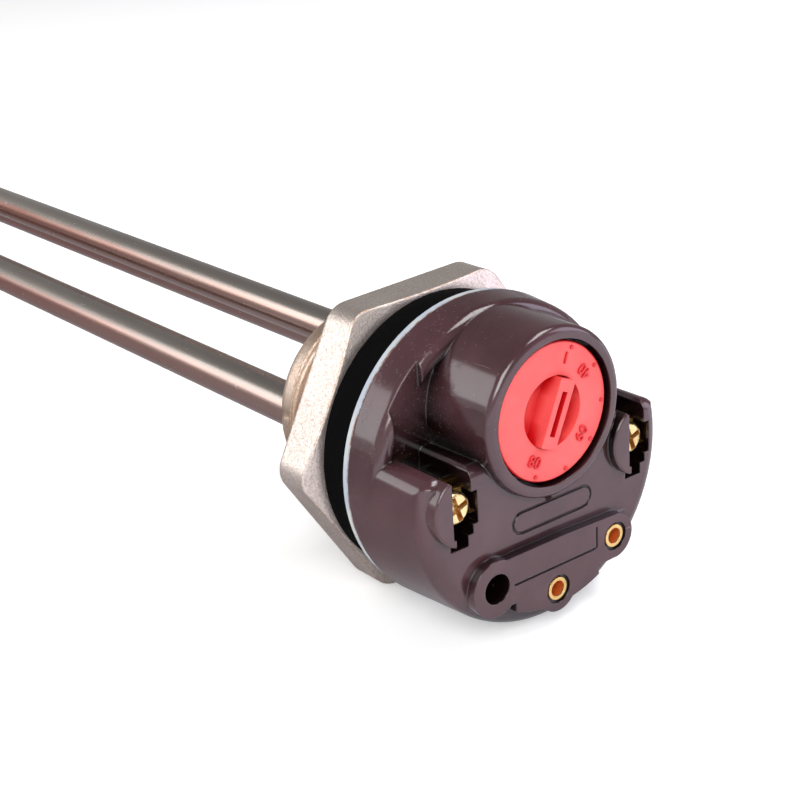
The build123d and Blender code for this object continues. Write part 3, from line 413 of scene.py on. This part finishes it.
def fired_ceramic(name, light, dark):
    """Ceramic, pressed as a powder and unglazed: a matt off-white with a fine grain, which is drawn
    at 0.5 mm, coarser than it is."""
    material, tree, shader = new_material(name)
    fine = pattern(tree, "TexNoise", 0.5, Detail=4, Roughness=0.65)
    tone = add(tree, "Mix", add(tree, "MapRange", fine, 0.3, 0.7), light, dark, data_type="RGBA")
    fill(shader, Base_Color=tone, Roughness=0.62)
    relief(tree, shader, fine, 0.03)
    return material


materials = {
    "hex_plug": sand_cast_nickel(),
    # Both tubes are the same metal, the pocket a shade lighter; their third colour is a painted warm
    # reflection on the left-facing side
    "heating_sheath": drawn_tube("nickel_plated_drawn_tube", "B6ADA6", "A59B94", "9C5B4E", (0, 0, 0)),
    "pocket_tube": drawn_tube("nickel_plated_pocket_tube", "B9B0A9", "A89E97", "A0604F", (4, 2, 9)),
    "spacer_ring": near_black_ring(),
    "insulating_disc": fibre_disc(),
    "mechanism_carrier": carrier_phenolic(),
    "housing": moulded_phenolic(),
    "dial": coral_plastic(),
    # Brass, headed and polished: light yellow and bright, with painted amber shade in the cross recess
    "terminal_screw": worked_metal("polished_yellow_brass_screw", "F0DCA8", "DDBD80", 0.2, wear=0.2,
                                   deep="A8681C", reach_mm=1.2),
    # Brass, pressed and stamped: darker and duller than the screws, with brown spots
    "clamp_plate": worked_metal("pressed_yellow_brass_plate", "C9A15C", "B48A48", 0.3, wear=0.4),
    "terminal_bar": worked_metal("stamped_yellow_brass_bar", "C39A55", "A9803F", 0.32, wear=0.4),
    # Brass, drawn to a sleeve: a bright pale rim round a coppery bore, whose dull orange is painted light
    # bounced within the sleeve
    "lamp_socket": worked_metal("drawn_yellow_brass_sleeve", "F0D290", "DDB26A", 0.18, wear=0.15,
                                deep="D0622A", front=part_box("lamp_socket_right")[0].y),
    # Brass, turned: clean yellow with fine rings
    "pin_socket": worked_metal("turned_brass_push_on_socket", "D3AB66", "BD9150", 0.25),
    # Brass strip, rolled and punched: duller yellow, with fine lines from side to side
    "strip": worked_metal("punched_brass_strip", "CBA35E", "B88E4C", 0.3, stretch=(12, 12, 1)),
    # Brass, turned, as the push-on sockets are
    "dial_spindle": worked_metal("turned_brass_spindle", "D3AB66", "BD9150", 0.22),
    # Copper, drawn: reddish, with lines along the tube
    "stem_tube": worked_metal("drawn_copper_stem", "C77F5C", "A9623F", 0.3, stretch=(1, 40, 1)),
    # Nickel iron, ground: warm grey, with lines along the rod
    "invar_rod": worked_metal("ground_nickel_iron_rod", "B7B2AB", "9E9992", 0.25, stretch=(1, 40, 1)),
    # Spring steel, zinc plated: cool light grey
    "steel": worked_metal("zinc_plated_spring_steel", "BEBFC0", "A3A5A7", 0.28),
    # Bronze, rolled: orange brown, with lines across the blade
    "blade": worked_metal("rolled_spring_bronze", "C58E5A", "A9743F", 0.27, stretch=(30, 1, 1)),
    # Steel, drawn and nickel plated: warm light grey
    "terminal_pin": worked_metal("nickel_plated_steel_pin", "C4C0BA", "ABA69F", 0.24),
    # Resistance wire, drawn and oxidised by heat: dark and dull
    "resistance_coil": worked_metal("oxidised_resistance_wire", "6F6A66", "4E4946", 0.45),
    "end_bush": fired_ceramic("fired_white_steatite", "E3DED2", "D2CBBB"),
    # Magnesia isn't fired, but pressed in the tube, and looks much the same
    "magnesia_fill": fired_ceramic("pressed_magnesia_powder", "E9E7E1", "D8D4CA"),
}
finish_of = {
    "adjusting_nut": "dial_spindle",
    "stem_plug": "stem_tube",
    "lever_bracket": "steel",
    "lever_pin": "steel",
    "switch_lever": "steel",
    "contact_blade": "blade",
    "fixed_contact": "strip",
    "supply_strip": "strip",
    "lamp_strip": "strip",
}
for name, node in nodes.items():
    base = name
    for ending in ("_left", "_right", "_lower"):
        base = base.removesuffix(ending)
    finish = materials[finish_of.get(base, base)]
    for slot in node.material_slots:
        slot.material = finish


# Pieces

def new_piece(name, mesh_data, material, body):
    """An object at the origin from a bmesh, with its finish, that rides on a body."""
    bmesh.ops.recalc_face_normals(mesh_data, faces=mesh_data.faces)
    mesh = bpy.data.meshes.new(name)
    mesh_data.to_mesh(mesh)
    mesh_data.free()
    for polygon in mesh.polygons:
        polygon.use_smooth = True
    mesh.materials.append(material)
    piece = bpy.data.objects.new(name, mesh)
    bpy.context.scene.collection.objects.link(piece)
    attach(piece, body)
    return piece


def groove_share(turns):
    """Depth of the thread's groove, 0 at a crest and 1 at a root, that many turns along."""
    place = turns % 1.0
    flank = min(place, 1.0 - place) * 2
    down = (flank - CREST_SHARE) / (1 - 2 * CREST_SHARE)
    return 0.5 - 0.5 * math.cos(math.pi * min(max(down, 0.0), 1.0))


def threaded_plug():
    """The casting with its pipe thread cut: the plain cylinder gives way to a grooved one."""
    work = bmesh.new()
    work.from_mesh(nodes["hex_plug"].data)
    bmesh.ops.remove_doubles(work, verts=work.verts, dist=MERGE)
    smallest = (THREAD_CREST - THREAD_LEAD - FACE_SLACK) * MM
    start = -START_SLACK * MM
    end = (THREAD_END + FACE_SLACK) * MM
    plain = [
        face for face in work.faces
        if all(math.hypot(v.co.x, v.co.z) > smallest and start < v.co.y < end for v in face.verts)
        and abs(face.normal.y) < LEVEL_NORMAL
    ]
    bmesh.ops.delete(work, geom=plain, context="FACES")

    # A grid is rolled up into the thread, and its two ends are joined to the casting
    sheet = bmesh.ops.create_grid(work, x_segments=THREAD_SIDES, y_segments=THREAD_ROWS, size=0.5)
    for vert in sheet["verts"]:
        around, along = vert.co.x + 0.5, vert.co.y + 0.5
        depth = THREAD_SEAM + (THREAD_END - 2 * THREAD_SEAM) * along
        from_start = (depth - THREAD_SEAM) / THREAD_RUN_OUT
        from_end = (THREAD_END - THREAD_SEAM - depth) / THREAD_SEAM
        fade = min(1.0, from_start, from_end)
        groove = THREAD_DEPTH * fade * groove_share(depth / THREAD_PITCH - around)
        lead = max(0.0, depth - THREAD_END + THREAD_LEAD)
        radius = min(THREAD_CREST - groove, THREAD_CREST - lead) * MM
        turn = 2 * math.pi * around
        vert.co = (radius * math.cos(turn), depth * MM, radius * math.sin(turn))
    bmesh.ops.remove_doubles(work, verts=sheet["verts"], dist=SHEET_MERGE)
    open_edges = {edge for edge in work.edges if edge.is_boundary}
    middle = THREAD_END / 2 * MM
    for near in (True, False):
        ends = [edge for edge in open_edges if (edge.verts[0].co.y < middle) == near]
        bmesh.ops.bridge_loops(work, edges=ends)
    piece = new_piece("hex_plug_threaded", work, materials["hex_plug"], "head")

    # The node's stored normals no longer fit the merged mesh and would bend the hexagon's flats
    piece.data.attributes.remove(piece.data.attributes["custom_normal"])
    piece.data.set_sharp_from_angle(angle=math.radians(SHARP_ANGLE))
    shading = piece.modifiers.new("flats_stay_flat", "WEIGHTED_NORMAL")
    shading.keep_sharp = True
    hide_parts("hex_plug")


def numeral(text, radius, angle):
    """A raised figure on the dial's face, about its axis at that angle, with its top inwards."""
    curve = bpy.data.curves.new("dial_figure_" + text, "FONT")
    curve.body = text
    curve.align_x = "CENTER"
    curve.align_y = "CENTER"
    curve.size = FIGURE_SIZE * MM
    curve.extrude = FIGURE_HALF_DEPTH * MM
    curve.bevel_depth = FIGURE_BEVEL * MM
    curve.space_character = FIGURE_SPACING
    figure = bpy.data.objects.new("dial_figure_" + text, curve)
    bpy.context.scene.collection.objects.link(figure)
    bpy.context.view_layer.update()
    made = bpy.data.meshes.new_from_object(figure.evaluated_get(bpy.context.evaluated_depsgraph_get()))
    bpy.data.objects.remove(figure)

    x = radius * math.cos(math.radians(angle)) * MM
    z = (DIAL_AXIS_Z + radius * math.sin(math.radians(angle))) * MM
    stand = Matrix.Rotation(math.radians(90), 4, "X")
    spin = Matrix.Rotation(math.radians(angle + 90), 4, "Z")
    place = Matrix.Translation((x, DIAL_FACE_Y - FIGURE_SINK * MM, z)) @ stand @ spin
    work = bmesh.new()
    work.from_mesh(made)
    bpy.data.meshes.remove(made)
    bmesh.ops.transform(work, matrix=place, verts=work.verts)
    bmesh.ops.remove_doubles(work, verts=work.verts, dist=MERGE)
    new_piece("dial_figure_" + text, work, materials["dial"], "dial_body")


threaded_plug()
for text, radius, angle in DIAL_FIGURES:
    numeral(text, radius, angle)


# Floor, light and camera

def floor_material():
    """White studio paper, matt: white to the camera. In metal and gloss it shows painted reflections
    instead of its own light:
    a cool white that glows in front of the part, and a grey, painted shadow, behind it."""
    material, tree, shader = new_material("matt_white_studio_paper")
    paper = pattern(tree, "TexNoise", 2.5, Detail=4, Roughness=0.6)
    ray = add(tree, "LightPath").outputs
    tone = add(tree, "Mix", add(tree, "MapRange", paper, 0.3, 0.7), "F2F2F2", "F6F6F6", data_type="RGBA")
    # Painted reflection: only reflections see the floor grey behind the part and glowing in front of it
    ahead = add(tree, "MapRange", object_place(tree)["Y"], 0.0, FLOOR_AHEAD)
    mirrored = add(tree, "Mix", ahead, "A8A5A8", "F4F2FC", data_type="RGBA")
    tone = add(tree, "Mix", ray["Is Glossy Ray"], tone, mirrored, data_type="RGBA")
    shine = add(tree, "Math", ray["Is Glossy Ray"], ahead, operation="MULTIPLY")
    shine = add(tree, "Math", shine, 0.25, operation="MULTIPLY")
    seen = add(tree, "Math", ray["Is Camera Ray"], 0.3, operation="MULTIPLY")
    fill(shader, Base_Color=tone, Roughness=0.9, Specular_IOR_Level=0.1,
         Emission_Color="FFFFFF", Emission_Strength=add(tree, "Math", seen, shine, operation="ADD"))
    relief(tree, shader, paper, 0.02)
    return material


def studio_floor():
    """A plain floor just under the part."""
    work = bmesh.new()
    bmesh.ops.create_grid(work, x_segments=FLOOR_CELLS, y_segments=FLOOR_CELLS, size=FLOOR_SIZE)
    bmesh.ops.translate(work, vec=(0, 0, cad_box[0][2] - FLOOR_DROP), verts=work.verts)
    mesh = bpy.data.meshes.new("studio_floor")
    work.to_mesh(mesh)
    work.free()
    mesh.materials.append(floor_material())
    floor = bpy.data.objects.new("studio_floor", mesh)
    bpy.context.scene.collection.objects.link(floor)


def softbox(name, place, width, height, power, colour="FFFFFF"):
    """A rectangular soft light at a place in metres that faces the part, with its power in watts."""
    data = bpy.data.lights.new(name, "AREA")
    data.shape = "RECTANGLE"
    data.size = width
    data.size_y = height
    data.energy = power
    data.color = linear(colour)[:3]
    lamp = bpy.data.objects.new(name, data)
    lamp.location = place
    lamp.rotation_euler = (-Vector(place)).to_track_quat("-Z", "Y").to_euler()
    lamp.visible_camera = False
    bpy.context.scene.collection.objects.link(lamp)


def studio_room():
    """White to the camera. It lights the part more from low down and from the part's left."""
    world = bpy.data.worlds.new("studio_room")
    world.use_nodes = True
    tree = world.node_tree
    towards = add(tree, "SeparateXYZ", add(tree, "TexCoord").outputs["Generated"]).outputs
    rise = add(tree, "MapRange", towards["Z"], 0.0, 0.75, 0.66, 0.22)
    side = add(tree, "MapRange", towards["X"], -0.7, 0.55, 1.4, 0.6)
    room = add(tree, "Math", rise, side, operation="MULTIPLY")
    seen = add(tree, "LightPath").outputs["Is Camera Ray"]
    strength = add(tree, "Mix", seen, room, 1.0, data_type="FLOAT")
    fill(tree.nodes["Background"], Color="FFFFFF", Strength=strength)
    bpy.context.scene.world = world


def photo_camera():
    """The camera at the photograph's place and angle."""
    data = bpy.data.cameras.new("photo_camera")
    data.lens = CAMERA_LENS
    data.sensor_width = SENSOR
    data.sensor_fit = "HORIZONTAL"
    data.clip_start, data.clip_end = CAMERA_CLIP
    camera = bpy.data.objects.new("photo_camera", data)
    turn = (CAMERA_AIM - CAMERA_PLACE).to_track_quat("-Z", "Y").to_matrix().to_4x4()
    roll = Matrix.Rotation(math.radians(CAMERA_ROLL), 4, "Z")
    camera.matrix_world = Matrix.Translation(CAMERA_PLACE) @ turn @ roll
    bpy.context.scene.collection.objects.link(camera)
    bpy.context.scene.camera = camera


studio_floor()
softbox("key_softbox", (-0.7, -0.9, 0.75), 0.8, 0.8, 16)
softbox("fill_softbox", (1.1, -0.7, 0.5), 0.7, 0.9, 6, "EEE9FF")
softbox("top_softbox", (0.42, -0.25, 1.0), 0.8, 0.35, 7)
softbox("left_softbox", (-0.95, 0.95, 0.5), 0.9, 0.7, 5)
studio_room()
photo_camera()
bpy.context.scene.view_settings.view_transform = "Standard"
